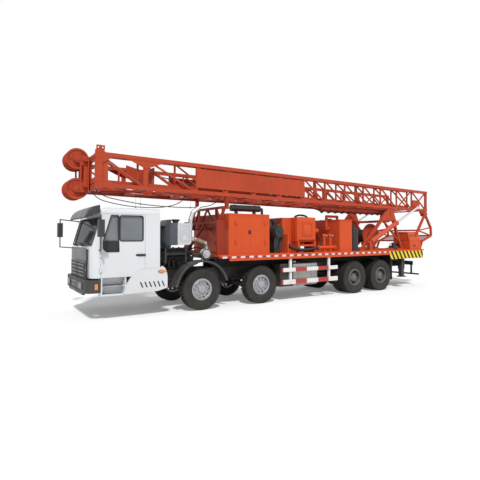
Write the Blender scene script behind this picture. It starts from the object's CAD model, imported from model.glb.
import math
import bpy
from mathutils import Matrix, Vector


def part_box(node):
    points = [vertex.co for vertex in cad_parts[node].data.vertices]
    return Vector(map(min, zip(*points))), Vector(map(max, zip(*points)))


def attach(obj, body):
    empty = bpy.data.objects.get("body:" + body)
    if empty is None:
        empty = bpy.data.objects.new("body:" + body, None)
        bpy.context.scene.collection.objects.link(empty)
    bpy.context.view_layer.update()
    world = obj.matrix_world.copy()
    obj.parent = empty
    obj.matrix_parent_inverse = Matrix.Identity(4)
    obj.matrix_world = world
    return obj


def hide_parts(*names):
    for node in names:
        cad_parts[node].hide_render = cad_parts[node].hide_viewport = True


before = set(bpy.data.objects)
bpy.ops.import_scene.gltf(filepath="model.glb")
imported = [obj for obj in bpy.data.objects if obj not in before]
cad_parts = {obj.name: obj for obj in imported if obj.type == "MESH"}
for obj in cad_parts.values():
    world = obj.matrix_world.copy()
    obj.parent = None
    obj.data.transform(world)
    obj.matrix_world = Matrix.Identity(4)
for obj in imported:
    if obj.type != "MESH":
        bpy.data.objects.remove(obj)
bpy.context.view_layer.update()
print("frame loaded,", len(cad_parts), "nodes")

# Lengths below are measured from the axle lines, as in the source; this brings them to the rig's middle
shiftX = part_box("rear_stand")[0][0] + 6.560
mastHinge = Vector((-6.110, 0, 2.860))
mastTilt = math.radians(0.7)
toRow = Matrix.Translation((shiftX, 0, 0))
alongMast = (toRow @ Matrix.Translation(mastHinge) @ Matrix.Rotation(-mastTilt, 4, "Y")
             @ Matrix.Translation(-mastHinge))
alongX, alongY, alongZ = (1, 0, 0), (0, 1, 0), (0, 0, 1)


# Small tools that every piece uses

def clearSelection():
    if bpy.context.object and bpy.context.object.mode != "OBJECT":
        bpy.ops.object.mode_set(mode="OBJECT")
    bpy.ops.object.select_all(action="DESELECT")


def useOnly(obj):
    clearSelection()
    obj.select_set(True)
    bpy.context.view_layer.objects.active = obj
    return obj


def applyPlace(obj):
    useOnly(obj)
    bpy.ops.object.transform_apply(location=True, rotation=True, scale=True)
    return obj


def editAll(obj):
    useOnly(obj)
    bpy.ops.object.mode_set(mode="EDIT")
    bpy.ops.mesh.select_all(action="SELECT")


def leaveEdit():
    bpy.ops.object.mode_set(mode="OBJECT")


def newBlock(low, high, bevel=0.0, steps=2):
    clearSelection()
    size = [abs(b - a) for a, b in zip(low, high)]
    bpy.ops.mesh.primitive_cube_add(size=1, location=[(a + b) / 2 for a, b in zip(low, high)], scale=size)
    obj = applyPlace(bpy.context.object)
    if bevel:
        editAll(obj)
        bpy.ops.mesh.bevel(offset=bevel, segments=steps, affect="EDGES")
        leaveEdit()
    return obj


def newRound(centre, axis, radius, depth, sides=32, bevel=0.0, steps=2):
    clearSelection()
    turn = Vector(axis).to_track_quat("Z", "Y").to_euler()
    bpy.ops.mesh.primitive_cylinder_add(vertices=sides, radius=radius, depth=depth, location=centre, rotation=turn)
    obj = applyPlace(bpy.context.object)
    if bevel:
        line = Vector(axis).normalized()
        pickFaces(obj, lambda c, n: abs(n.dot(line)) > 0.9)
        bpy.ops.mesh.region_to_loop()
        bpy.ops.mesh.bevel(offset=bevel, segments=steps, affect="EDGES")
        leaveEdit()
    return obj


def pickFaces(obj, test):
    # leaves the piece in edit mode with only the wanted faces selected
    editAll(obj)
    bpy.ops.mesh.select_mode(type="FACE")
    bpy.ops.mesh.select_all(action="DESELECT")
    leaveEdit()
    for face in obj.data.polygons:
        face.select = bool(test(face.center, face.normal))
    bpy.ops.object.mode_set(mode="EDIT")


def insetPush(obj, test, inset, push):
    # insets the wanted faces and moves them along their normals
    pickFaces(obj, test)
    bpy.ops.mesh.inset(thickness=inset)
    bpy.ops.mesh.extrude_region_shrink_fatten(TRANSFORM_OT_shrink_fatten={"value": push})
    leaveEdit()
    return obj


def moveFaces(obj, test, step, lower=1.0):
    # slants a side by moving its face, and makes that face lower
    pickFaces(obj, test)
    bpy.ops.transform.translate(value=step)
    bpy.ops.transform.resize(value=(1, 1, lower))
    leaveEdit()
    return obj


def newTube(points, radius, sides=3, steps=6):
    # a round line on a smooth curve through its first and last point
    clearSelection()
    bpy.ops.curve.primitive_nurbs_path_add()
    path = bpy.context.object
    path.location = (0, 0, 0)
    path.data.splines.clear()
    line = path.data.splines.new("NURBS")
    line.points.add(len(points) - 1)
    for point, place in zip(line.points, points):
        point.co = (*place, 1)
    line.order_u = min(4, len(points))
    line.use_endpoint_u = True
    path.data.resolution_u = steps
    path.data.bevel_depth = radius
    path.data.bevel_resolution = sides
    path.data.use_fill_caps = True
    useOnly(path)
    bpy.ops.object.convert(target="MESH")
    return applyPlace(bpy.context.object)


def newMesh(points, edges, faces):
    clearSelection()
    bpy.ops.mesh.primitive_plane_add(size=0.01)
    obj = bpy.context.object
    obj.data.clear_geometry()
    obj.data.from_pydata(points, edges, faces)
    return obj


def rect(lowA, lowB, highA, highB):
    return [(lowA, lowB), (highA, lowB), (highA, highB), (lowA, highB)]


def newOutline(points, place, axis, corner):
    # a flat face at place on its axis, given as (x, z) or (y, z), left selected in edit mode
    lift = {"y": lambda a, b: (a, place, b), "x": lambda a, b: (place, a, b)}[axis]
    obj = newMesh([lift(a, b) for a, b in points], [], [list(range(len(points)))])
    editAll(obj)
    if corner:
        bpy.ops.mesh.bevel(offset=corner, segments=5, affect="VERTICES")
        bpy.ops.mesh.select_all(action="SELECT")
    return obj


def pushOut(axis, depth):
    step = {"y": (0, depth, 0), "x": (depth, 0, 0)}[axis]
    bpy.ops.mesh.extrude_region_move(TRANSFORM_OT_translate={"value": step})
    bpy.ops.mesh.select_all(action="SELECT")
    bpy.ops.mesh.normals_make_consistent(inside=False)


def newPanel(points, place, depth, axis="y", bevel=0.0, corner=0.0):
    obj = newOutline(points, place, axis, corner)
    pushOut(axis, depth)
    if bevel:
        bpy.ops.mesh.select_mode(type="EDGE")
        bpy.ops.mesh.edges_select_sharp(sharpness=math.radians(50))
        bpy.ops.mesh.bevel(offset=bevel, segments=2, affect="EDGES")
    leaveEdit()
    return obj


def newRing(points, place, depth, width, axis="y", corner=0.0):
    # a flat frame: only the back of a panel is kept, inset, its middle removed, and the rest pushed out
    obj = newPanel(points, place, depth, axis, corner=corner)
    side = Vector({"y": alongY, "x": alongX}[axis])
    pickFaces(obj, lambda c, n: abs(n.dot(side)) < 0.5)
    bpy.ops.mesh.delete(type="ONLY_FACE")
    pickFaces(obj, lambda c, n: c.dot(side) - place > depth * 0.5)
    bpy.ops.mesh.delete(type="FACE")
    bpy.ops.mesh.select_all(action="SELECT")
    bpy.ops.mesh.inset(thickness=width)
    bpy.ops.mesh.delete(type="FACE")
    bpy.ops.mesh.select_all(action="SELECT")
    pushOut(axis, depth)
    leaveEdit()
    return obj


def newRod(start, end, radius, sides=12):
    a, b = Vector(start), Vector(end)
    return newRound((a + b) / 2, b - a, radius, (b - a).length, sides)


def newCopy(obj, place):
    # each copy has its own mesh
    twin = obj.copy()
    twin.data = obj.data.copy()
    bpy.context.scene.collection.objects.link(twin)
    twin.matrix_world = place if isinstance(place, Matrix) else Matrix.Translation(place)
    return twin


def copyAt(obj, places):
    copies = [newCopy(obj, place) for place in places]
    bpy.data.objects.remove(obj)
    return joinAll(copies)


def boltRow(places, axis, radius, depth):
    # hexagon heads at the given places
    return copyAt(newRound((0, 0, 0), axis, radius, depth, 6), places)


def boltRing(centre, axis, ring, count, size, depth, start=0.0):
    # hexagon heads round a flange
    turn = Vector(axis).normalized().to_track_quat("Z", "Y").to_matrix()
    angles = [start + math.tau * k / count for k in range(count)]
    spots = [Vector(centre) + turn @ Vector((math.cos(a) * ring, math.sin(a) * ring, 0)) for a in angles]
    return boltRow(spots, axis, size / 2, depth)


def newTorus(ring, thick, rings, sides, place=(0, 0, 0)):
    # a round ring about the Y axis
    clearSelection()
    bpy.ops.mesh.primitive_torus_add(major_radius=ring, minor_radius=thick, major_segments=rings,
                                     minor_segments=sides, location=place, rotation=(math.pi / 2, 0, 0))
    return applyPlace(bpy.context.object)


def joinAll(parts):
    clearSelection()
    for part in parts:
        part.select_set(True)
    bpy.context.view_layer.objects.active = parts[0]
    if len(parts) > 1:
        bpy.ops.object.join()
    return applyPlace(bpy.context.object)


def mirrored(obj):
    # the same piece on the other side, as a new object
    twin = newCopy(obj, (0, 0, 0))
    twin.scale.y = -1
    editAll(applyPlace(twin))
    bpy.ops.mesh.normals_make_consistent(inside=False)
    leaveEdit()
    return twin


def bothSides(obj):
    return joinAll([obj, mirrored(obj)])


def smooth(obj, degrees=35):
    useOnly(obj)
    bpy.ops.object.shade_smooth_by_angle(angle=math.radians(degrees))
    return obj


def smoothJoin(parts):
    return smooth(joinAll(parts))


def finishPiece(obj, name, finish, body="chassis", onMast=False):
    obj.name = name
    obj.data.name = name
    obj.matrix_world = (alongMast if onMast else toRow) @ obj.matrix_world
    applyPlace(obj)
    obj.data.materials.clear()
    obj.data.materials.append(materials[finish])
    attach(obj, body)
    return obj


# Camera, floor and light

cameraView = {"place": (8.735, 11.283, 1.933), "turn": -125.35, "rise": 1.42, "roll": -0.13,
              "lens": 31.09, "shift": (-0.0677, -0.027), "sensor": 36, "reach": 300}


def makeCamera():
    clearSelection()
    turn, rise, roll = (math.radians(cameraView[key]) for key in ("turn", "rise", "roll"))
    look = Vector((math.cos(turn) * math.cos(rise), math.sin(turn) * math.cos(rise), math.sin(rise)))
    x, y, z = cameraView["place"]
    bpy.ops.object.camera_add(location=(x + shiftX, y, z))
    camera = bpy.context.object
    camera.name = "camera"
    facing = look.to_track_quat("-Z", "Y").to_matrix().to_4x4()
    camera.matrix_world = Matrix.Translation(camera.location) @ facing @ Matrix.Rotation(roll, 4, "Z")
    camera.data.sensor_width = cameraView["sensor"]
    camera.data.lens = cameraView["lens"]
    camera.data.shift_x, camera.data.shift_y = cameraView["shift"]
    camera.data.clip_end = cameraView["reach"]
    bpy.context.scene.camera = camera
    bpy.context.scene.view_settings.view_transform = "Standard"


studio = {"sun": 2.7, "sunTurn": (40, 0, 155), "sunSoft": 6, "fill": 0.40, "sky": (0.96, 0.98, 1),
          "floorSize": 160, "floorZ": -0.002, "floor": 0.86, "floorGlow": 0.16}


def makeFloor():
    # a pale floor that glows a little for the camera only, so that it goes white and keeps the shadow
    clearSelection()
    bpy.ops.mesh.primitive_plane_add(size=studio["floorSize"], location=(0, 0, studio["floorZ"]))
    floor = bpy.context.object
    floor.name = "floor"
    editAll(floor)
    bpy.ops.mesh.subdivide(number_cuts=2)
    leaveEdit()
    applyPlace(floor)
    mat, tree, shader = newMaterial("floorPale")
    feedAll(shader, Base_Color=(studio["floor"],) * 3, Roughness=0.95, Specular_IOR_Level=0.0)
    glow = tree.nodes.new("ShaderNodeEmission")
    dark = tree.nodes.new("ShaderNodeEmission")
    ray = tree.nodes.new("ShaderNodeLightPath")
    both = tree.nodes.new("ShaderNodeAddShader")
    feed(glow.inputs["Strength"], studio["floorGlow"])
    feed(dark.inputs["Strength"], 0.0)
    seen = mixShaders(tree, ray.outputs["Is Camera Ray"], dark, glow)
    feed(both.inputs[0], shader.outputs[0])
    feed(both.inputs[1], seen)
    feed(tree.nodes["Material Output"].inputs["Surface"], both.outputs[0])
    floor.data.materials.append(mat)


def makeStudio():
    makeFloor()
    clearSelection()
    turn = [math.radians(a) for a in studio["sunTurn"]]
    bpy.ops.object.light_add(type="SUN", location=(4, 12, 14), rotation=turn)
    sun = bpy.context.object
    sun.data.energy = studio["sun"]
    sun.data.angle = math.radians(studio["sunSoft"])
    # a soft sky for the rig, plain white for the camera, for glass and for mirrors
    world = bpy.data.worlds.new("studio")
    bpy.context.scene.world = world
    world.use_nodes = True
    tree = world.node_tree
    back = tree.nodes["Background"]
    white = tree.nodes.new("ShaderNodeBackground")
    ray = tree.nodes.new("ShaderNodeLightPath").outputs
    feed(back.inputs["Strength"], studio["fill"])
    feed(back.inputs["Color"], studio["sky"])
    feed(white.inputs["Color"], (1, 1, 1))
    seen = addMath(tree, "MAXIMUM", ray["Is Camera Ray"], ray["Is Transmission Ray"])
    seen = addMath(tree, "MAXIMUM", seen, ray["Is Glossy Ray"])
    feed(tree.nodes["World Output"].inputs["Surface"], mixShaders(tree, seen, back, white))


# Shared surface effects, as node groups

def newMaterial(name):
    mat = bpy.data.materials.new(name)
    mat.use_nodes = True
    return mat, mat.node_tree, mat.node_tree.nodes["Principled BSDF"]


def feed(socket, value):
    # numbers and colours are set on the socket, anything else is linked to it
    if isinstance(value, (int, float)):
        socket.default_value = value
    elif isinstance(value, tuple):
        socket.default_value = (*value[:3], 1)
    else:
        socket.id_data.links.new(value, socket)


def feedAll(node, **values):
    for label, value in values.items():
        feed(node.inputs[label.replace("_", " ")], value)


def newGroup(name, inputs, outputs):
    # a colour socket where the given value is a colour, a number socket where it is a number
    tree = bpy.data.node_groups.new(name, "ShaderNodeTree")
    for label, value in inputs.items():
        kind = "NodeSocketColor" if isinstance(value, tuple) else "NodeSocketFloat"
        socket = tree.interface.new_socket(name=label, in_out="INPUT", socket_type=kind)
        feed(socket, value)
    for label in outputs:
        kind = "NodeSocketColor" if label == "Color" else "NodeSocketFloat"
        tree.interface.new_socket(name=label, in_out="OUTPUT", socket_type=kind)
    return tree, tree.nodes.new("NodeGroupInput").outputs, tree.nodes.new("NodeGroupOutput").inputs


def mixShaders(tree, share, first, second):
    pick = tree.nodes.new("ShaderNodeMixShader")
    for socket, value in zip(pick.inputs, (share, first.outputs[0], second.outputs[0])):
        feed(socket, value)
    return pick.outputs[0]


def addMath(tree, kind, a, b=0.0, limit=False):
    node = tree.nodes.new("ShaderNodeMath")
    node.operation = kind
    node.use_clamp = limit
    for socket, value in zip(node.inputs, (a, b)):
        feed(socket, value)
    return node.outputs[0]


def addNoise(tree, where, scale, detail=3.0, rough=0.55):
    node = tree.nodes.new("ShaderNodeTexNoise")
    feedAll(node, Vector=where, Scale=scale, Detail=detail, Roughness=rough)
    return node.outputs["Fac"]


def addMix(tree, share, a, b):
    node = tree.nodes.new("ShaderNodeMix")
    node.data_type = "RGBA"
    for socket, value in zip((node.inputs[0], node.inputs[6], node.inputs[7]), (share, a, b)):
        feed(socket, value)
    return node.outputs[2]


def addRange(tree, value, low, high, outLow=0.0, outHigh=1.0):
    node = tree.nodes.new("ShaderNodeMapRange")
    for socket, given in zip(node.inputs[:5], (value, low, high, outLow, outHigh)):
        feed(socket, given)
    return node.outputs[0]


def addBump(tree, shader, height, strength, reach):
    bump = tree.nodes.new("ShaderNodeBump")
    feedAll(bump, Strength=strength, Distance=reach, Height=height)
    feed(shader.inputs["Normal"], bump.outputs["Normal"])


def objectPlace(tree):
    return tree.nodes.new("ShaderNodeTexCoord").outputs["Object"]


def splitPlace(tree):
    split = tree.nodes.new("ShaderNodeSeparateXYZ")
    feed(split.inputs[0], objectPlace(tree))
    return split.outputs


def makeAgedGroup():
    # faded patches, fine orange peel and a dull or glossy change over the surface
    tree, given, out = newGroup("agedPaint", {"Color": (1, 1, 1), "Patch Size": 2.0, "Fading": 0.12, "Grain Size": 220.0,
                                              "Roughness": 0.4, "Streaks": 0.1}, ("Color", "Roughness", "Height"))
    where = objectPlace(tree)
    patch = addNoise(tree, where, given["Patch Size"], 4)
    stretch = tree.nodes.new("ShaderNodeMapping")
    stretch.inputs["Scale"].default_value = (9, 9, 0.7)  # long streaks, upright
    feed(stretch.inputs["Vector"], where)
    streak = addNoise(tree, stretch.outputs[0], 1.6, 3)
    fadeUp = addMath(tree, "MULTIPLY", addMath(tree, "SUBTRACT", patch, 0.5), given["Fading"])
    streakUp = addMath(tree, "MULTIPLY", addMath(tree, "SUBTRACT", streak, 0.5), given["Streaks"])
    change = addMath(tree, "MULTIPLY", addMath(tree, "ADD", fadeUp, streakUp), 2.4)
    tint = tree.nodes.new("ShaderNodeHueSaturation")
    feed(tint.inputs["Color"], given["Color"])
    feed(tint.inputs["Value"], addMath(tree, "ADD", 1.0, change))
    grain = addNoise(tree, where, given["Grain Size"], 2)
    feed(out["Color"], tint.outputs[0])
    feed(out["Roughness"], addMath(tree, "ADD", given["Roughness"], addMath(tree, "MULTIPLY", fadeUp, 1.6)))
    feed(out["Height"], addMath(tree, "ADD", grain, addMath(tree, "MULTIPLY", patch, 0.6)))
    return tree


def makeDustGroup():
    # road dust that thickens towards the ground
    tree, given, out = newGroup("roadDust", {"Color": (1, 1, 1), "Dust": (0.2, 0.17, 0.13), "Low": 0.3, "High": 1.6,
                                             "Amount": 0.4}, ("Color", "Mask"))
    where = objectPlace(tree)
    height = addRange(tree, splitPlace(tree)[2], given["Low"], given["High"], 1.0, 0.0)
    fine = addMath(tree, "MULTIPLY", addNoise(tree, where, 60.0, 3), 0.35)
    cloud = addMath(tree, "ADD", addNoise(tree, where, 5.0, 5, 0.65), fine)
    mask = addMath(tree, "MULTIPLY", height, addRange(tree, cloud, 0.42, 0.95))
    mask = addMath(tree, "MULTIPLY", mask, given["Amount"], True)
    feed(out["Color"], addMix(tree, mask, given["Color"], given["Dust"]))
    feed(out["Mask"], mask)
    return tree


def makeChipGroup():
    # small chips and scuffs where the paint has gone
    tree, given, out = newGroup("paintChips", {"Color": (1, 1, 1), "Under": (0.06, 0.03, 0.02), "Chip Size": 14.0,
                                               "Amount": 0.3}, ("Color", "Mask"))
    where = objectPlace(tree)
    wide = addMath(tree, "MULTIPLY", addNoise(tree, where, 1.1, 2), 0.55)
    small = addNoise(tree, where, given["Chip Size"], 6, 0.7)
    edge = addMath(tree, "SUBTRACT", 0.80, addMath(tree, "MULTIPLY", given["Amount"], wide))
    mask = addRange(tree, small, edge, addMath(tree, "ADD", edge, 0.03))
    feed(out["Color"], addMix(tree, mask, given["Color"], given["Under"]))
    feed(out["Mask"], mask)
    return tree


def makeBandGroup():
    # slanted or upright bands of two colours, along the rig and on across its end
    tree, given, out = newGroup("slantedBands", {"First": (1, 1, 1), "Second": (0, 0, 0), "Pitch": 0.2, "Share": 0.5,
                                                 "Slant": 0.0, "Start": 0.0}, ("Color", "Mask"))
    x, y, z = splitPlace(tree)
    run = addMath(tree, "ADD", x, addMath(tree, "MULTIPLY", z, given["Slant"]))
    run = addMath(tree, "ADD", addMath(tree, "ADD", run, addMath(tree, "ABSOLUTE", y)), given["Start"])
    turns = addMath(tree, "DIVIDE", addMath(tree, "ADD", run, 100.0), given["Pitch"])  # kept above zero
    mask = addMath(tree, "LESS_THAN", addMath(tree, "FRACT", turns), given["Share"])
    feed(out["Color"], addMix(tree, mask, given["First"], given["Second"]))
    feed(out["Mask"], mask)
    return tree


groups = {}
materials = {}


def useGroup(tree, name, **values):
    node = tree.nodes.new("ShaderNodeGroup")
    node.node_tree = groups[name]
    feedAll(node, **values)
    return node.outputs


# Linear colour, roughness, fading, patches to the metre, dust, chips and bump, then what differs from plain paint
finishes = {
    "mastOrange": ((0.44, 0.058, 0.022), 0.5, 0.16, 1.3, 0.10, 0.42, 0.06, {"shine": 0.25}),
    "deckOrange": ((0.62, 0.082, 0.020), 0.46, 0.10, 0.9, 0.22, 0.25, 0.05, {"shine": 0.25}),
    "deckTwoTone": ((0.62, 0.082, 0.020), 0.46, 0.10, 0.9, 0.22, 0.25, 0.05, {"shine": 0.25}),
    "hazardBands": ((0.82, 0.62, 0.02), 0.46, 0.10, 0.9, 0.15, 0.2, 0.05, {"shine": 0.25}),
    "restRed": ((0.30, 0.034, 0.016), 0.55, 0.2, 1.6, 0.15, 0.4, 0.08, {"shine": 0.2}),
    "sheaveRed": ((0.42, 0.058, 0.024), 0.55, 0.25, 3.0, 0.10, 0.6, 0.12, {"shine": 0.2}),
    "ramOrange": ((0.56, 0.088, 0.038), 0.42, 0.12, 1.5, 0.1, 0.25, 0.04, {"shine": 0.3}),
    "cabWhite": ((0.69, 0.71, 0.73), 0.22, 0.03, 0.8, 0.20, 0.0, 0.015, {"coat": 0.6}),
    "chassisBlack": ((0.020, 0.020, 0.021), 0.55, 0.4, 2.5, 0.5, 0.2, 0.15, {}),
    "trimGrey": ((0.030, 0.032, 0.036), 0.6, 0.2, 3.0, 0.25, 0.0, 0.2, {"grain": 420.0}),
    "guardBlack": ((0.028, 0.028, 0.032), 0.45, 0.2, 2.0, 0.45, 0.0, 0.08, {}),
    "panelSlate": ((0.070, 0.078, 0.095), 0.38, 0.12, 2.0, 0.15, 0.0, 0.04, {}),
    "seatCloth": ((0.05, 0.052, 0.056), 0.85, 0.3, 6.0, 0.0, 0.0, 0.4, {"grain": 600.0}),
    "engineIron": ((0.050, 0.050, 0.052), 0.5, 0.5, 4.0, 0.5, 0.5, 0.3, {"metal": 0.4}),
    "boxAlloy": ((0.66, 0.68, 0.72), 0.4, 0.06, 3.0, 0.1, 0.0, 0.08, {"metal": 0.75}),
    "tankAlloy": ((0.40, 0.40, 0.385), 0.36, 0.16, 2.0, 0.45, 0.05, 0.06, {"metal": 0.8}),
    "bottleBlack": ((0.018, 0.019, 0.021), 0.35, 0.3, 3.0, 0.15, 0.3, 0.08, {}),
    "hardChrome": ((0.78, 0.79, 0.81), 0.12, 0.03, 2.0, 0.0, 0.0, 0.01, {"metal": 1.0}),
    "rimSilver": ((0.42, 0.43, 0.46), 0.38, 0.12, 5.0, 0.45, 0.1, 0.06, {"metal": 0.45}),
    "rimGrey": ((0.15, 0.15, 0.155), 0.45, 0.3, 5.0, 0.6, 0.15, 0.08, {"metal": 0.35}),
    "hoseRubber": ((0.016, 0.016, 0.017), 0.55, 0.3, 5.0, 0.3, 0.0, 0.15, {"grain": 500.0}),
    "cableSteel": ((0.070, 0.066, 0.062), 0.5, 0.3, 9.0, 0.1, 0.0, 0.3, {"metal": 0.7, "grain": 350.0}),
    "boltZinc": ((0.34, 0.33, 0.31), 0.4, 0.25, 9.0, 0.3, 0.2, 0.1, {"metal": 0.8}),
    "pipeBronze": ((0.30, 0.235, 0.15), 0.42, 0.4, 6.0, 0.1, 0.2, 0.15, {"metal": 0.7}),
    "stackSteel": ((0.60, 0.60, 0.61), 0.32, 0.1, 4.0, 0.05, 0.0, 0.08, {"metal": 0.85}),
    "guardBands": ((0.80, 0.80, 0.79), 0.4, 0.06, 2.0, 0.3, 0.2, 0.05, {}),
    "tapeBands": ((0.80, 0.80, 0.79), 0.3, 0.06, 2.0, 0.3, 0.1, 0.05, {}),
    "visorTint": ((0.036, 0.041, 0.051), 0.34, 0.2, 2.0, 0.08, 0.0, 0.03, {"shine": 0.35}),
    "amberLens": ((0.80, 0.25, 0.02), 0.15, 0.1, 9.0, 0.1, 0.0, 0.1, {"coat": 1.0}),
    "lampLens": ((0.085, 0.09, 0.095), 0.22, 0.1, 9.0, 0.1, 0.0, 0.1, {"shine": 0.6}),
    "gaugeFace": ((0.06, 0.06, 0.062), 0.3, 0.05, 9.0, 0.0, 0.0, 0.02, {"coat": 0.8}),
}
# The striped finishes: two colours, pitch in metres, share of the second colour, slant and start
bands = {
    "hazardBands": ((0.84, 0.63, 0.02), (0.018, 0.018, 0.018), 0.225, 0.5, -0.6, 0.0),
    "guardBands": ((0.80, 0.80, 0.79), (0.42, 0.030, 0.030), 0.925, 0.487, 0.0, 0.469),
    "tapeBands": ((0.72, 0.66, 0.64), (0.34, 0.020, 0.018), 0.29, 0.5, 0.0, 0.1),
}
paint = {"grain": 160.0, "shine": 0.5, "coatRough": 0.08, "bumpReach": 0.004, "dustDull": 0.4, "streaks": 0.6}


def makeFinish(name):
    base, rough, fade, patch, dust, chips, bump, more = finishes[name]
    mat, tree, shader = newMaterial(name)
    color = base
    if name in bands:
        labels = ("First", "Second", "Pitch", "Share", "Slant", "Start")
        color = useGroup(tree, "bands", **dict(zip(labels, bands[name])))["Color"]
    aged = useGroup(tree, "aged", Color=color, Patch_Size=patch, Fading=fade, Streaks=fade * paint["streaks"],
                    Grain_Size=more.get("grain", paint["grain"]), Roughness=rough)
    color = aged["Color"]
    if chips:
        color = useGroup(tree, "chips", Color=color, Amount=chips, Under=tuple(c * 0.28 + 0.01 for c in base))["Color"]
    dusty = useGroup(tree, "dust", Color=color, Amount=dust)
    dull = addMath(tree, "ADD", aged["Roughness"], addMath(tree, "MULTIPLY", dusty["Mask"], paint["dustDull"]), True)
    feedAll(shader, Base_Color=dusty["Color"], Roughness=dull, Specular_IOR_Level=more.get("shine", paint["shine"]),
            Coat_Weight=more.get("coat", 0.0), Coat_Roughness=paint["coatRough"])
    addBump(tree, shader, aged["Height"], min(1.0, bump * 2), paint["bumpReach"])
    if "metal" in more:
        feed(shader.inputs["Metallic"], addRange(tree, dusty["Mask"], 0.0, 1.0, more["metal"], 0.0))
    materials[name] = mat


# Tint, roughness, share that light passes through, and index
panes = {"screenGlass": ((0.040, 0.046, 0.062), 0.06, 0.10, 1.07), "cabGlass": ((0.44, 0.47, 0.50), 0.03, 0.62, 1.45)}


def makeGlass(name):
    tint, rough, clear, index = panes[name]
    mat, tree, shader = newMaterial(name)
    where = objectPlace(tree)
    film = addRange(tree, addNoise(tree, where, 3.0, 4), 0.4, 0.8, rough, rough + 0.05)
    grime = addRange(tree, addNoise(tree, where, 1.2, 3), 0.35, 0.8)
    feed(shader.inputs["Roughness"], film)
    feed(shader.inputs["Base Color"], addMix(tree, grime, tint, tuple(c * 0.82 for c in tint)))
    feed(shader.inputs["Transmission Weight"], clear)
    feed(shader.inputs["IOR"], index)
    materials[name] = mat


deckPaint = {"inner": 1.2325, "top": 1.4002, "under": (0.016, 0.016, 0.017)}


def blackenDeck():
    # the deck's paint goes black behind and under its skirts
    tree = materials["deckTwoTone"].node_tree
    color = tree.nodes["Principled BSDF"].inputs["Base Color"]
    place = splitPlace(tree)
    inner = addMath(tree, "LESS_THAN", addMath(tree, "ABSOLUTE", place["Y"]), deckPaint["inner"])
    mask = addMath(tree, "MULTIPLY", inner, addMath(tree, "LESS_THAN", place["Z"], deckPaint["top"]))
    feed(color, addMix(tree, mask, color.links[0].from_socket, deckPaint["under"]))


rubber = {"color": (0.020, 0.019, 0.018), "dust": (0.10, 0.088, 0.070), "dustTop": 1.9, "dustAmount": 0.45}


def makeTyreRubber():
    # dark rubber with a fine grain, and dust in the tread
    mat, tree, shader = newMaterial("tyreRubber")
    aged = useGroup(tree, "aged", Color=rubber["color"], Patch_Size=5.0, Fading=0.25, Grain_Size=260.0,
                    Roughness=0.72, Streaks=0.1)
    dusty = useGroup(tree, "dust", Color=aged["Color"], Dust=rubber["dust"], Low=0.0, High=rubber["dustTop"],
                     Amount=rubber["dustAmount"])
    feedAll(shader, Base_Color=dusty["Color"], Roughness=aged["Roughness"], Specular_IOR_Level=0.3)
    height = addMath(tree, "ADD", aged["Height"], addNoise(tree, objectPlace(tree), 24.0, 3))
    addBump(tree, shader, height, 0.35, 0.003)
    materials["tyreRubber"] = mat


def makeMaterials():
    groups.update(aged=makeAgedGroup(), dust=makeDustGroup(), chips=makeChipGroup(), bands=makeBandGroup())
    for name in finishes:
        makeFinish(name)
    for name in panes:
        makeGlass(name)
    blackenDeck()
    makeTyreRubber()
    print("materials ready,", len(materials))


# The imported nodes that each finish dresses; a name may be the start of several nodes' names
nodeFinish = {
    "chassisBlack": ("frame_rails", "front_axles", "rear_axles", "jack_leg", "knuckle"),
    "cabWhite": ("cab_shell", "cab_door", "fenders"),
    "deckOrange": ("cabinet", "pump_set", "hydraulic_tank", "console"),
    "mastOrange": ("a_frames", "rear_stand", "mast_lower", "mast_upper"),
    "sheaveRed": ("sheaves", "winch_drum"), "restRed": ("mast_rest",), "ramOrange": ("ram_barrels",),
    "hardChrome": ("ram_rods",), "rimSilver": ("rim_1", "rim_2"), "rimGrey": ("rim_3", "rim_4"),
    "trimGrey": ("cab_trim",), "screenGlass": ("cab_glass",), "cabGlass": ("door_glass",), "seatCloth": ("cab_interior",),
    "amberLens": ("lamps",), "engineIron": ("engine",), "stackSteel": ("exhaust",), "guardBlack": ("mudguards",),
    "deckTwoTone": ("deck",), "hazardBands": ("rear_skirt",), "guardBands": ("side_guards",),
    "tankAlloy": ("tanks",), "bottleBlack": ("vessels",), "tyreRubber": ("tyre",)}


def dressNodes():
    for name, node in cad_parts.items():
        finish = next(key for key, starts in nodeFinish.items() if name.startswith(starts))
        for slot in node.material_slots:
            slot.material = materials[finish]
    print("frame pieces dressed")


# Tyres with blocks on the shoulders
tyre = {"radius": 0.550, "width": 0.290, "bead": 0.262, "wall": 0.012, "blocks": 46, "blockDepth": 0.020, "rings": 72,
        "axles": {1: 3.850, 2: 1.950, 3: -1.880, 4: -3.230}, "singleY": (1.020,), "twinY": (1.090, 0.750)}
sideSigns = {"left": 1, "right": -1}


def facesLeft(centre, normal):
    return normal.y > 0.9


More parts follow.
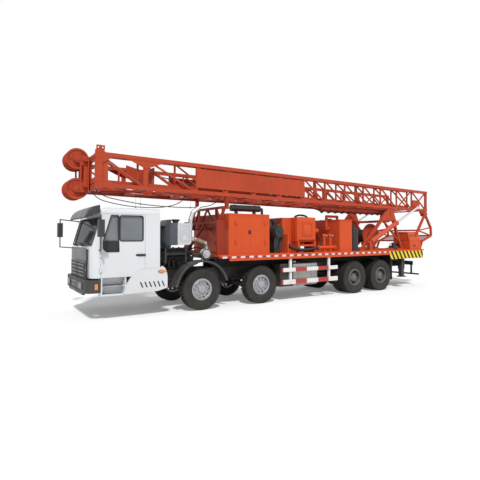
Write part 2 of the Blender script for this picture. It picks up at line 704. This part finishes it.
def makeCarcass():
    # half the profile in shares of the half width and in radius, turned round the axle by spin
    w, r, bead = tyre["width"] / 2, tyre["radius"], tyre["bead"]
    base = r - tyre["blockDepth"]
    half = [(0.0, base), (0.55, base), (0.80, base - 0.004), (0.93, r - 0.030), (0.985, r - 0.062), (1.0, r - 0.120),
            (0.985, r - 0.170), (0.93, r - 0.215), (0.84, r - 0.250), (0.78, bead), (0.62, bead - 0.008)]
    profile = [(-w * a, b) for a, b in reversed(half[1:])] + [(w * a, b) for a, b in half]
    lines = [(i, i + 1) for i in range(len(profile) - 1)]
    obj = newMesh([(0, a, b) for a, b in profile], lines, [])
    editAll(obj)
    bpy.ops.mesh.spin(steps=tyre["rings"], angle=math.tau, center=(0, 0, 0), axis=alongY)
    bpy.ops.mesh.select_all(action="SELECT")
    bpy.ops.mesh.remove_doubles(threshold=0.0004)
    bpy.ops.mesh.normals_make_consistent(inside=False)
    leaveEdit()
    solid = obj.modifiers.new("wall", "SOLIDIFY")
    solid.thickness = tyre["wall"]
    solid.offset = -1
    useOnly(obj)
    bpy.ops.object.modifier_apply(modifier="wall")
    return smooth(obj, 40)


def blockRing(low, high, bevel, slant, lower, turned):
    # one block and its mirror image, then a ring of copies
    block = moveFaces(newBlock(low, high, bevel, 1), facesLeft, slant, lower)
    count = tyre["blocks"]
    return copyAt(bothSides(block), [Matrix.Rotation(math.tau * (k + turned) / count, 4, "Y") for k in range(count)])


def makeTyres():
    w, r = tyre["width"] / 2, tyre["radius"]
    carcass = makeCarcass()
    shoulders = blockRing((-0.021, w * 0.50, r - 0.060), (0.021, w * 0.990, r), 0.003, (0, -0.004, 0), 0.8, 0)
    ribs = blockRing((-0.022, w * 0.05, r - 0.026), (0.022, w * 0.43, r), 0.002, (0.008, 0, 0), 1.0, 0.5)
    one = joinAll([carcass, shoulders, ribs])
    for number, x in tyre["axles"].items():
        for side, sign in sideSigns.items():
            across = tyre["singleY"] if number < 3 else tyre["twinY"]
            piece = joinAll([newCopy(one, (x, sign * y, r)) for y in across])
            finishPiece(piece, "tyre_%d_%s_tread" % (number, side), "tyreRubber", "wheel_%d_%s" % (number, side))
            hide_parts("tyre_%d_%s" % (number, side))
    bpy.data.objects.remove(one)
    print("tyres made")


# Cab: rubbers, wipers, nose, steps and lamps
cab = {"side": 1.230, "nose": 6.6803, "bumper": 6.7603, "rubber": 0.024, "handle": (5.395, 5.636, 1.512),
       "screenFoot": (6.622, 0, 1.730), "screenRise": 0.690, "screenRun": 0.190, "wipers": (-0.72, 0.18),
       "wiperReach": 0.62, "slats": 5, "headLamps": (0.73, -0.73), "sideLamp": (5.010, 1.25, 1.092)}


def doorParts():
    # black rubbers round the two panes of the left door, the panel under them, its handle and its lock
    side, (rearX, frontX, z) = cab["side"], cab["handle"]
    pane = [(6.396, 1.850), (6.222, 2.466), (6.042, 2.466), (6.022, 1.594), (6.318, 1.594), (6.396, 1.672)]
    sill = [(6.05, 1.622), (6.305, 1.622), (6.372, 1.690), (6.36, 1.86), (6.05, 1.86)]
    leverLow, leverHigh = (rearX + 0.012, side + 0.004, z - 0.012), (frontX - 0.04, side + 0.034, z + 0.016)
    return [newRing(rect(5.452, 1.842, 6.028, 2.468), side - 0.012, 0.022, cab["rubber"], corner=0.06),
            newRing(pane, side - 0.012, 0.022, cab["rubber"], corner=0.02),
            newBlock((6.028, side - 0.014, 1.90), (6.048, side + 0.006, 2.45), 0.003, 1),
            newPanel(sill, side - 0.012, 0.008, corner=0.012),
            newPanel(rect(rearX, z - 0.026, frontX, z + 0.026), side + 0.0005, 0.006, corner=0.02),
            moveFaces(newBlock(leverLow, leverHigh, 0.007, 3), lambda c, n: n.x < -0.9, (0, -0.012, 0)),
            newRound((frontX - 0.022, side + 0.008, z), alongY, 0.011, 0.010, 16)]


def sideRubbers():
    left = joinAll(doorParts())
    for side, piece in (("left", left), ("right", mirrored(left))):
        finishPiece(smooth(piece), "door_rubber_" + side, "hoseRubber", "cab_door_" + side)
    print("door rubbers made")


def screenRubber():
    # the frame of the windscreen, with two wipers parked along its lower edge, laid on the raked front
    rake = math.atan2(cab["screenRun"], cab["screenRise"])
    length = cab["screenRise"] / math.cos(rake)
    parts = [newRing(rect(-1.145, 0.008, 1.145, length - 0.008), 0.0, 0.012, 0.032, "x", 0.09)]
    for y in cab["wipers"]:
        parts += [newRound((0.028, y, 0.015), alongX, 0.022, 0.06, 16),
                  newRod((0.045, y, 0.015), (0.030, y + cab["wiperReach"] * 0.55, 0.075), 0.008, 8),
                  newBlock((0.016, y + 0.05, 0.062), (0.030, y + 0.05 + cab["wiperReach"], 0.078), 0.003, 1)]
    piece = joinAll(parts)
    piece.matrix_world = Matrix.Translation(cab["screenFoot"]) @ Matrix.Rotation(-rake, 4, "Y")
    finishPiece(smooth(applyPlace(piece)), "screen_rubber", "hoseRubber")
    print("screen rubber made")


def nosePanels():
    nose, bumper, lamps = cab["nose"], cab["bumper"], cab["headLamps"]
    panel = newPanel([(-0.925, 1.385), (0.925, 1.385), (0.90, 1.70), (-0.90, 1.70)], nose, 0.010, "x", 0.003, 0.04)
    finishPiece(smooth(panel), "nose_panel", "panelSlate")
    slats = []
    for k in range(cab["slats"]):
        z = 0.950 + k * 0.086
        for y in (-0.43, 0.43):
            slat = newBlock((nose + 0.004, y - 0.405, z - 0.012), (nose + 0.030, y + 0.405, z + 0.016), 0.004, 1)
            slats.append(moveFaces(slat, lambda c, n: n.x > 0.9, (0, 0, -0.012)))
    slats.append(newRing(rect(-0.90, 0.875, 0.90, 1.378), nose + 0.006, 0.012, 0.030, "x", 0.04))
    finishPiece(smoothJoin(slats), "grille_slats", "bottleBlack")
    # tinted skins over the three parts of the visor
    curve = [(6.7325, 2.4230), (6.6635, 2.5425), (6.5630, 2.6435), (6.4530, 2.7040),
             (6.4505, 2.7000), (6.5600, 2.6400), (6.6600, 2.5400), (6.7290, 2.4240)]
    visor = [newPanel(curve, low, high - low) for low, high in ((-0.880, -0.389), (-0.371, 0.371), (0.389, 0.880))]
    finishPiece(smoothJoin(visor), "visor_skin", "visorTint")
    # head lamps in the bumper with their frames, its seams and the lip under it
    lenses = [newBlock((6.7665, y - 0.175, 0.742), (6.790, y + 0.175, 0.878), 0.018, 3) for y in lamps]
    finishPiece(smoothJoin(lenses), "head_lamps", "lampLens")
    trims = [newRing(rect(y - 0.20, 0.722, y + 0.20, 0.898), bumper, 0.014, 0.022, "x", 0.03) for y in lamps]
    trims += [newBlock((bumper, -0.48, low), (6.768, 0.48, high), 0.004, 1) for low, high in ((0.74, 0.80), (0.82, 0.88))]
    trims.append(newPanel([(-0.9, 0.655), (0.9, 0.655), (0.86, 0.60), (-0.86, 0.60)], 6.70, 0.05, "x", 0.004))
    finishPiece(smoothJoin(trims), "bumper_trim", "bottleBlack")
    print("nose made")


def fenderTrim():
    # treads on the steps
    treads = [newBlock((5.92, 1.02 + k * 0.045, z), (6.38, 1.042 + k * 0.045, z + 0.006), 0.002, 1)
              for z in (0.6203, 0.8103) for k in range(3)]
    finishPiece(bothSides(joinAll(treads)), "step_treads", "guardBlack")
    # the lip round the fender's arch and the roof's gutter
    arch = [(5.925, 0.60), (5.890, 0.72), (5.820, 0.87), (5.732, 1.00), (5.634, 1.10), (5.53, 1.162), (5.45, 1.180),
            (5.06, 1.180)]
    lips = [newTube([(x, 1.2505, z) for x, z in arch], 0.006, 2, 5),
            newTube([(5.06, 1.226, 2.505), (5.5, 1.229, 2.512), (6.3, 1.229, 2.512), (6.42, 1.222, 2.49)], 0.007, 2, 4)]
    finishPiece(smooth(bothSides(joinAll(lips))), "cab_lips", "cabWhite")
    # black grilles behind the slots
    backs = bothSides(newBlock((4.90, 1.203, 0.705), (5.59, 1.214, 0.875)))
    finishPiece(backs, "fender_grilles", "bottleBlack")
    # oval side lamps, each a rim and a lens
    x, y, z = cab["sideLamp"]
    for name, radius, depth, finish, slot in (("side_lamp_rims", 0.062, 0.014, "bottleBlack", "trim_black"),
                                              ("side_lamp_lenses", 0.052, 0.024, "amberLens", "lamp_amber")):
        oval = newRound((x, y + 0.0005 + depth / 2, z), alongY, radius, depth, 40, 0.005, 3)
        editAll(oval)
        bpy.ops.transform.resize(value=(1.35, 1, 0.62), center_override=(x, y, z))
        leaveEdit()
        finishPiece(smooth(bothSides(oval)), name, finish)
    print("fender trim made")


# Engine bay
bay = {"boxFront": (4.545, 4.824), "pipeY": 0.9, "turbo": (3.62, 1.48), "fanZ": 1.38, "blades": 8, "headCovers": 6}
# Radius, roundness and points of each hose
engineHoses = (
    (0.030, 4, ((4.95, 0.38, 1.78), (4.86, 0.46, 1.80), (4.70, 0.44, 1.70), (4.56, 0.30, 1.60), (4.50, 0.18, 1.58))),
    (0.030, 4, ((4.96, 0.36, 1.20), (4.90, 0.46, 1.16), (4.76, 0.42, 1.06), (4.60, 0.30, 1.02))),
    (0.045, 4, ((4.16, 0.70, 1.99), (4.05, 0.72, 2.0), (3.94, 0.66, 1.90), (3.90, 0.52, 1.72), (3.86, 0.36, 1.60))),
    (0.022, 3, ((3.60, 0.74, 1.44), (3.66, 0.70, 1.24), (3.80, 0.52, 1.14), (3.96, 0.30, 1.12))),
    (0.014, 3, ((4.33, 0.33, 1.33), (4.28, 0.42, 1.42), (4.10, 0.44, 1.38), (3.95, 0.34, 1.30), (3.84, 0.28, 1.26))),
    (0.012, 3, ((4.46, 0.33, 1.33), (4.44, 0.46, 1.48), (4.60, 0.50, 1.52), (4.78, 0.40, 1.40), (4.86, 0.28, 1.28))),
    (0.016, 3, ((4.85, 0.43, 1.09), (4.60, 0.47, 1.13), (4.30, 0.46, 1.10), (3.95, 0.47, 1.13), (3.62, 0.46, 1.09))),
    (0.011, 3, ((4.85, 0.41, 1.08), (4.62, 0.43, 1.10), (4.25, 0.42, 1.085), (3.90, 0.43, 1.10), (3.62, 0.42, 1.08))),
    (0.050, 4, ((4.60, -0.20, 1.66), (4.62, 0.05, 1.74), (4.58, 0.30, 1.80), (4.52, 0.46, 1.98), (4.50, 0.47, 2.08))),
    (0.020, 3, ((3.70, 0.10, 1.60), (3.56, 0.30, 1.72), (3.46, 0.55, 1.60), (3.42, 0.62, 1.46))))


def airBox():
    # dark front half of the air box, and the pressed triangle on its bright half
    low, high = bay["boxFront"]
    half = newPanel(rect(low, 1.736, high, 2.314), 0.596, 0.558, bevel=0.004)
    pickFaces(half, lambda c, n: n.x > 0.9)
    bpy.ops.mesh.bevel(offset=0.085, segments=5, affect="EDGES")
    leaveEdit()
    finishPiece(smooth(half), "air_box_front", "panelSlate")
    press = newPanel([(4.25, 1.875), (4.44, 1.875), (4.345, 2.05)], 1.1465, 0.006, corner=0.012)
    rim = newRing(rect(4.185, 1.765, 4.525, 2.285), 1.146, 0.008, 0.018, corner=0.05)
    parts = [insetPush(press, facesLeft, 0.018, -0.004), rim]
    finishPiece(smoothJoin(parts), "air_box_press", "boxAlloy")
    print("air box made")


def hotPipe():
    # bronze sleeve on the hot pipe, with band clamps, and the turbocharger's cover
    pipeY, (x, z) = bay["pipeY"], bay["turbo"]
    route = [(4.165, pipeY, 1.900), (4.05, pipeY, 1.891), (3.95, pipeY, 1.880), (3.76, pipeY, 1.822),
             (3.64, pipeY, 1.780), (3.585, pipeY - 0.02, 1.69), (3.560, pipeY - 0.04, 1.61)]
    finishPiece(smooth(newTube(route, 0.0625, 6, 5)), "hot_pipe", "pipeBronze")
    bands = [newRound((bandX, pipeY, bandZ), (1, 0, slope), 0.070, 0.03, 24, 0.004)
             for bandX, bandZ, slope in ((4.10, 1.896, 0.08), (3.83, 1.845, 0.30))]
    bands += [newRound((4.122, 1.0, bandZ), alongZ, 0.0605, 0.012, 24) for bandZ in (2.195, 2.225, 2.255, 2.285)]
    bands += [boltRing((x, 0.997, z), alongY, 0.055, 6, 0.018, 0.014),
              boltRing((x, 0.951, z), alongY, 0.135, 10, 0.016, 0.012)]
    finishPiece(smoothJoin(bands), "pipe_bands", "boltZinc")
    cover = insetPush(newRound((x, 0.936, z), alongY, 0.150, 0.030, 48, 0.010, 3), facesLeft, 0.030, -0.008)
    finishPiece(smooth(cover), "turbo_cover", "engineIron")
    print("hot pipe made")


def engineFittings():
    # ribs on the turbocharger, pulleys, fan blades, head covers and side covers
    x, z = bay["turbo"]
    iron = []
    for k in range(8):
        a, b = math.cos(math.tau * k / 8), math.sin(math.tau * k / 8)
        iron.append(newRod((x + 0.06 * a, 0.945, z + 0.06 * b), (x + 0.145 * a, 0.93, z + 0.145 * b), 0.008, 6))
    for y, pulleyZ, radius in ((-0.35, 1.18, 0.075), (0.0, 1.10, 0.12), (0.0, 1.38, 0.10), (0.25, 1.32, 0.07)):
        iron.append(newRound((4.905, y, pulleyZ), alongX, radius, 0.05, 32, 0.006))
    hub = Matrix.Translation((-0.035, 0, bay["fanZ"]))
    turns = [Matrix.Rotation(math.tau * k / bay["blades"], 4, "X") for k in range(bay["blades"])]
    iron.append(copyAt(newBlock((4.958, -0.045, 0.10), (4.966, 0.045, 0.30), 0.002, 1), [hub @ turn for turn in turns]))
    for k in range(bay["headCovers"]):
        x = 3.860 + k * 0.175
        iron.append(boltRow([(x + run, y, 1.6425) for run in (-0.05, 0.05) for y in (-0.12, 0.12)], alongZ, 0.011, 0.014))
        iron.append(newRound((x, 0.0, 1.652), alongZ, 0.028, 0.03, 16, 0.004))
    iron += [newBlock((3.80, 0.262, 0.90), (4.30, 0.300, 1.18), 0.012, 2),
             newBlock((4.36, 0.262, 0.88), (4.84, 0.290, 1.04), 0.012, 2)]
    finishPiece(smoothJoin(iron), "engine_fittings", "engineIron")
    hoses = [newTube(route, radius, roundness, 5) for radius, roundness, route in engineHoses]
    finishPiece(smoothJoin(hoses), "engine_hoses", "hoseRubber")
    print("engine dressed")


# Wheels: caps, nuts and bright rings
wheel = {"frontTrack": 1.020, "rearTrack": 0.920, "nuts": 10, "nutRing": 0.168, "nut": 0.034}


def hubParts(front):
    # drawn round the axle line with its face towards +Y
    nuts, ring, nut = wheel["nuts"], wheel["nutRing"], wheel["nut"]
    if front:
        return [newRound((0, 0.119, 0), alongY, 0.098, 0.020, 40, 0.006, 3),
                boltRing((0, 0.116, 0), alongY, ring, nuts, nut, 0.022),
                boltRing((0, 0.121, 0), alongY, 0.082, 8, 0.012, 0.022, 0.2),
                boltRing((0, 0.0895, 0), alongY, ring, nuts, 0.052, 0.006),
                newTorus(0.240, 0.008, 56, 10, (0, 0.140, 0))]
    return [newRound((0, 0.256, 0), alongY, 0.085, 0.020, 40, 0.006, 3),
            boltRing((0, 0.254, 0), alongY, 0.118, 12, 0.020, 0.014),
            boltRing((0, 0.058, 0), alongY, ring, nuts, nut, 0.022),
            newTorus(0.250, 0.010, 56, 10, (0, 0.316, 0))]


def rimTrim():
    # one for the front and one for the rear, then copies set at the wheels
    for front, track, finish, slot in ((True, wheel["frontTrack"], "rimSilver", "rim_silver"),
                                       (False, wheel["rearTrack"], "rimGrey", "rim_grey")):
        hub = smoothJoin(hubParts(front))
        for number in ((1, 2) if front else (3, 4)):
            for side, sign in sideSigns.items():
                place = Matrix.Translation((tyre["axles"][number], sign * track, tyre["radius"]))
                turn = Matrix.Rotation(0 if sign > 0 else math.pi, 4, "Z")
                piece = applyPlace(newCopy(hub, place @ turn))
                finishPiece(piece, "rim_trim_%d_%s" % (number, side), finish, "wheel_%d_%s" % (number, side))
        bpy.data.objects.remove(hub)
    print("rims dressed")


# Deck: tape, cabinet, drive case and hoses
deck = {"ends": (-3.735, 3.385), "tape": (1.352, 1.406), "side": 1.250, "ties": 7, "hose": 0.046}


def deckEdges():
    rearX, frontX = deck["ends"]
    low, high = deck["tape"]
    tape = newBlock((rearX, deck["side"] + 0.0003, low), (frontX, deck["side"] + 0.0018, high))
    finishPiece(bothSides(tape), "edge_tape", "tapeBands")
    # folded lip under the edge, and ties for loads
    tie = [(1.252, 1.345), (1.275, 1.345), (1.278, 1.318), (1.262, 1.305), (1.252, 1.305)]
    lip = [newBlock((rearX, 1.2303, 1.276), (3.06, 1.254, 1.289), 0.004, 1)]
    lip += [newTube([(-3.3 + k * 1.03, y, z) for y, z in tie], 0.006, 2, 3) for k in range(deck["ties"])]
    finishPiece(smooth(bothSides(joinAll(lip))), "deck_lip", "deckOrange")
    # black underside behind the skirts
    under = newBlock((-3.70, -1.225, 1.386), (3.04, 1.225, 1.3985))
    finishPiece(under, "deck_underside", "chassisBlack")
    print("deck edges dressed")


def cabinetTrim():
    # seams, the gutter over the doors, and a lock on each door
    seams = [newBlock((x - 0.004, 1.1503, 1.50), (x + 0.004, 1.1528, 2.57)) for x in (2.965, 1.735)]
    seams.append(newBlock((1.665, 1.1503, 2.566), (3.035, 1.158, 2.584), 0.003, 1))
    finishPiece(bothSides(joinAll(seams)), "cabinet_seams", "deckOrange")
    for name, x in (("front", 2.375), ("rear", 2.325)):
        parts = [newPanel(rect(x - 0.020, 2.02, x + 0.020, 2.14), 1.1503, 0.005, corner=0.012),
                 newRound((x, 1.162, 2.055), alongY, 0.013, 0.018, 16, 0.003)]
        if name == "front":
            parts.append(newBlock((x - 0.010, 1.164, 2.045), (x + 0.010, 1.178, 2.125), 0.005, 2))
        lock = smooth(bothSides(joinAll(parts)))
        finishPiece(lock, "leaf_lock_" + name, "bottleBlack", "cabinet_door_" + name)
    print("cabinet dressed")


def driveCase():
    # bolts round its flange and cover, raised frame on the cover, plugs below and on top
    bolts = boltRow([(x, 0.886, 1.83 + k * 0.089) for k in range(9) for x in (0.457, -0.347)], alongY, 0.007, 0.012)
    heads = boltRow([(-0.16 + k * 0.144, 1.017, z) for k in range(4) for z in (1.962, 2.408)], alongY, 0.008, 0.010)
    finishPiece(joinAll([bolts, heads]), "case_bolts", "deckOrange")
    cover = [newRing(rect(-0.135, 1.985, 0.245, 2.385), 1.0143, 0.010, 0.026, corner=0.02),
             newPanel(rect(-0.10, 2.02, 0.21, 2.35), 1.0128, 0.006, bevel=0.002, corner=0.02),
             newRound((0.055, 0.70, 1.782), alongZ, 0.022, 0.036, 6),
             newRound((0.055, 0.70, 2.585), alongZ, 0.045, 0.04, 24, 0.006)]
    finishPiece(smoothJoin(cover), "case_cover", "deckOrange")
    print("drive case dressed")


def deckHoses():
    # black hose from the drive case to the manifold, a second one behind it, an arched pipe and four thin ones
    thick = [(0.83, 0.96, 1.80), (0.83, 1.00, 1.66), (0.62, 1.03, 1.56), (0.25, 1.03, 1.524), (-0.10, 1.02, 1.540),
             (-0.30, 0.98, 1.585), (-0.445, 0.96, 1.590)]
    second = [(0.83, 0.88, 1.78), (0.80, 0.92, 1.62), (0.55, 0.95, 1.53), (0.10, 0.94, 1.50), (-0.30, 0.88, 1.52),
              (-0.62, 0.84, 1.60), (-0.78, 0.76, 1.78), (-0.70, 0.66, 2.02)]
    arch = [(0.30, 0.62, 2.55), (0.28, 0.63, 2.62), (0.14, 0.66, 2.665), (-0.04, 0.68, 2.66), (-0.18, 0.70, 2.62),
            (-0.22, 0.70, 2.55)]
    hoses = [newTube(thick, deck["hose"], 5, 8), newTube(second, 0.026, 4, 7), newTube(arch, 0.030, 4, 7)]
    for k in range(4):
        route = [(1.20, 0.94 - k * 0.05, 1.50 + k * 0.05), (1.02, 0.96, 1.64 + k * 0.07), (0.98, 0.86, 1.86 + k * 0.05),
                 (1.06, 0.72, 1.98)]
        hoses.append(newTube(route, 0.014, 3, 6))
    finishPiece(smoothJoin(hoses), "deck_hoses", "hoseRubber")
    # the thick hose's clamps, flange bolts of the manifold, and the wheels of its valves
    clamps = [newRound((-0.425, 0.96, 1.590), alongX, 0.054, 0.03, 24, 0.004),
              newRound((0.83, 0.965, 1.775), alongZ, 0.054, 0.03, 24, 0.004)]
    clamps += [boltRing((x, 0.96, 1.590), alongX, 0.074, 8, 0.020, 0.066) for x in (-0.456, -1.169)]
    for x in (-0.70, -0.98):
        clamps += [boltRing((x, 0.96, z), alongZ, 0.050, 6, 0.014, 0.040) for z in (1.712, 1.872)]
        clamps += [newRod((x, 1.0, 1.99), (x, 1.075, 1.99), 0.010, 10),
                   newRound((x, 1.08, 1.99), alongY, 0.036, 0.014, 20, 0.004)]
    finishPiece(smoothJoin(clamps), "deck_clamps", "boltZinc")
    print("deck hoses made")


def vesselBands():
    # muffler straps, the air cleaner's bands and cap, and bands on the bottles
    bands = [newRound((x, 0.80, 2.79), alongX, 0.0985, 0.022, 32, 0.004) for x in (2.70, 2.45, 2.15, 1.88)]
    bands += [newRound((1.18, y, 2.11), alongY, radius, 0.018, 40, 0.005)
              for y, radius in ((0.48, 0.214), (0.70, 0.214), (0.90, 0.214), (0.985, 0.150))]
    bands.append(newRound((1.18, 1.008, 2.11), alongY, 0.030, 0.018, 16, 0.004))
    bands += [newRound((-2.10, 0.96, z), alongZ, 0.169, 0.016, 40, 0.004) for z in (1.50, 1.62, 1.95, 2.12)]
    finishPiece(smoothJoin(bands), "vessel_bands", "bottleBlack")
    print("vessels dressed")


# Mast: hose and its clips, hanging lines, ropes and bolts
mast = {"clips": 12, "clipPitch": 0.32, "hose": 0.0152, "line": 0.011, "wire": 0.008,
        "shaftX": 6.79, "shafts": (2.980, 3.715),
        "slung": (((6.45, 0.20, 3.11), (6.32, 0.20, 2.93), (6.111, 0.2, 2.855), (5.739, 0.2, 2.789), (5.301, 0.2, 2.740),
                   (4.70, 0.2, 2.745), (4.20, 0.2, 2.84), (3.96, 0.2, 3.00), (3.945, 0.2, 3.14)),
                  ((6.45, 0.60, 3.11), (6.25, 0.60, 2.95), (6.074, 0.6, 2.912), (5.474, 0.6, 2.809), (4.781, 0.6, 2.757),
                   (3.9, 0.6, 2.752), (3.42, 0.6, 2.80), (3.10, 0.60, 2.94), (3.006, 0.60, 3.13))),
        "hangers": ((5.335, 0.20, 2.744), (5.335, 0.60, 2.795), (3.945, 0.60, 2.760))}


def mastLines():
    # hose along the long tube, with its clips
    clips = [newRound((-4.45 + k * mast["clipPitch"], 0.60, 2.880), alongX, 0.1170, 0.012, 32, 0.002)
             for k in range(mast["clips"])]
    route = [(-4.62, 0.70, 2.80), (-3.6, 0.712, 2.795), (-2.4, 0.712, 2.805), (-1.2, 0.712, 2.79), (-0.72, 0.66, 2.84),
             (-0.50, 0.50, 2.95)]
    clips.append(newTube(route, mast["hose"], 3, 6))
    finishPiece(smoothJoin(clips), "tube_hoses", "hoseRubber", "mast_lower")
    # two lines slung under the head end, held by short hangers that end on the sloping floor of the mast
    lines = [newTube(route, mast["line"], 3, 8) for route in mast["slung"]]
    for x, y, z in mast["hangers"]:
        lines += [newRod((x, y, z), (x, y, 3.158 - (6.4 - x) * 0.0122), 0.0025, 6),
                  newRound((x, y, z), alongX, 0.018, 0.03, 12)]
    finishPiece(smoothJoin(lines), "slung_lines", "hoseRubber", "mast_lower")
    print("mast lines made")


def mastTrim():
    # bolts on the front frame's plates and on the hinge plates
    plates = boltRow([(x, 1.0265, z) for z in (3.10, 3.22, 3.34, 3.56, 3.68, 3.80) for x in (6.43, 6.50)],
                     alongY, 0.014, 0.012)
    hinge = boltRow([(-5.82 + k * 0.072, 1.0265, z) for k in range(6) for z in (3.08, 3.36)], alongY, 0.012, 0.012)
    finishPiece(bothSides(joinAll([plates, hinge])), "mast_bolts", "mastOrange", "mast_lower", True)
    # taut ropes inside the head end, from its plate frame down to an anchor on the floor
    ropes = [newRod((5.055, y, 3.575), (3.545, y, 3.340), mast["wire"], 8) for y in (-0.045, 0.045)]
    finishPiece(smoothJoin(ropes), "mast_ropes", "cableSteel", "mast_upper", True)
    anchor = newBlock((3.525, -0.070, 3.13), (3.560, 0.070, 3.365), 0.004, 1)
    finishPiece(anchor, "rope_anchor", "mastOrange", "mast_upper", True)
    # caps and bolts at the ends of the sheave shafts
    caps = []
    for z in mast["shafts"]:
        for sign in (1, -1):
            caps += [newRound((mast["shaftX"], sign * 0.340, z), alongY, 0.060, 0.014, 32, 0.004),
                     boltRing((mast["shaftX"], sign * 0.346, z), alongY, 0.044, 6, 0.016, 0.012)]
    finishPiece(smoothJoin(caps), "shaft_caps", "sheaveRed", "mast_upper", True)
    print("mast dressed")


# Rear end: winch, A-frames, console, valves and hoses
rear = {"drum": (-3.600, 2.000), "rope": 0.011, "wraps": 37, "wrapPitch": 0.0225,
        "dial": 0.052, "dials": (-5.12, -5.28, -5.44), "valvePitch": 0.055}


def winchTrim():
    # rope wound on the drum, and the bolts of its flanges
    x, z = rear["drum"]
    wraps = [(x, -0.405 + k * rear["wrapPitch"], z) for k in range(rear["wraps"])]
    rope = copyAt(newTorus(0.2215, rear["rope"], 48, 8), wraps)
    finishPiece(smooth(rope, 60), "drum_rope", "cableSteel", "winch_drum")
    flanges = [boltRing((x, sign * 0.452, z), alongY, ring, count, size, 0.012)
               for ring, count, size in ((0.40, 12, 0.024), (0.15, 8, 0.026)) for sign in (1, -1)]
    finishPiece(joinAll(flanges), "drum_bolts", "sheaveRed", "winch_drum")
    # bolts on the feet and cross plates of the A-frames
    bolts = [boltRow([(footX, 1.05, 1.457) for footX in (-2.37, -2.31, -2.51, -4.83, -4.71)], alongZ, 0.014, 0.012),
             boltRow([(-4.34 + k * 0.128, 1.0115, 2.57) for k in range(7)], alongY, 0.012, 0.012),
             boltRow([(-4.18 + k * 0.11, 1.0115, 2.86) for k in range(3)], alongY, 0.012, 0.012)]
    finishPiece(bothSides(joinAll(bolts)), "frame_bolts", "mastOrange")
    print("winch dressed")


def consoleTrim():
    # bezels and dials on its slanted face, a frame on its front and a blank oval cover
    facing = (0, 0.933, 0.36)
    bezels = [newRound((x, 1.122, 1.987), facing, rear["dial"], 0.014, 32, 0.003) for x in rear["dials"]]
    dials = [newRound((x, 1.1295, 1.990), facing, rear["dial"] - 0.010, 0.006, 32) for x in rear["dials"]]
    bezels.append(newRing(rect(0.62, 1.80, 1.07, 2.08), -4.9997, 0.004, 0.010, "x", 0.02))
    ovalZ, flat = 1.593, 0.55
    oval = newRound((-5.286, 1.1815, ovalZ), alongY, 0.075, 0.006, 40, 0.002)
    oval.scale.z = flat
    oval.location.z = ovalZ * (1 - flat)
    bezels.append(applyPlace(oval))
    finishPiece(smoothJoin(bezels), "console_fittings", "bottleBlack")
    finishPiece(smoothJoin(dials), "console_dials", "gaugeFace")
    door = newRing(rect(-5.64, 1.50, -5.05, 1.80), 1.1803, 0.004, 0.008, corner=0.02)
    finishPiece(door, "console_door", "deckOrange")
    print("console dressed")


def valveTrim():
    # valve block in front of the console, with its pipes, and the lines along the deck
    places = [-4.43 + k * rear["valvePitch"] for k in range(4)]
    block = [newBlock((-4.46, 0.76, 1.4503), (-4.24, 1.02, 1.60), 0.01),
             newRound((-4.35, 0.89, 1.66), alongZ, 0.06, 0.12, 24, 0.008)]
    for x in places:
        block += [newRound((x, 0.97, 1.625), alongZ, 0.016, 0.05, 12), newRod((x, 0.80, 1.60), (x, 0.80, 1.70), 0.008, 8)]
    finishPiece(smoothJoin(block), "valve_block", "engineIron")
    runs = []
    for k, x in enumerate(places):
        route = [(x, 0.97, 1.64), (x - 0.02, 0.95, 1.74), (-4.62, 0.88 - k * 0.02, 1.70), (-4.80, 0.84 - k * 0.04, 1.56),
                 (-5.02, 0.82 - k * 0.05, 1.52)]
        runs.append(newTube(route, 0.011, 3, 6))
    for k in range(3):
        near, far = k * 0.05, k * 0.06
        route = [(-4.24, 0.94 - near, 1.53), (-3.9, 0.92 - near, 1.485), (-3.2, 0.90 - far, 1.475),
                 (-2.6, 0.82 - far, 1.475), (-1.95, 0.70 - far, 1.49), (-1.885, 0.66 - far, 1.55)]
        runs.append(newTube(route, 0.014, 3, 6))
    finishPiece(smoothJoin(runs), "rear_hoses", "hoseRubber")
    print("rear dressed")


makeCamera()
makeMaterials()
makeStudio()
dressNodes()
makeTyres()
sideRubbers()
screenRubber()
nosePanels()
fenderTrim()
airBox()
hotPipe()
engineFittings()
rimTrim()
deckEdges()
cabinetTrim()
driveCase()
deckHoses()
vesselBands()
mastLines()
mastTrim()
winchTrim()
consoleTrim()
valveTrim()

print("sizes written")
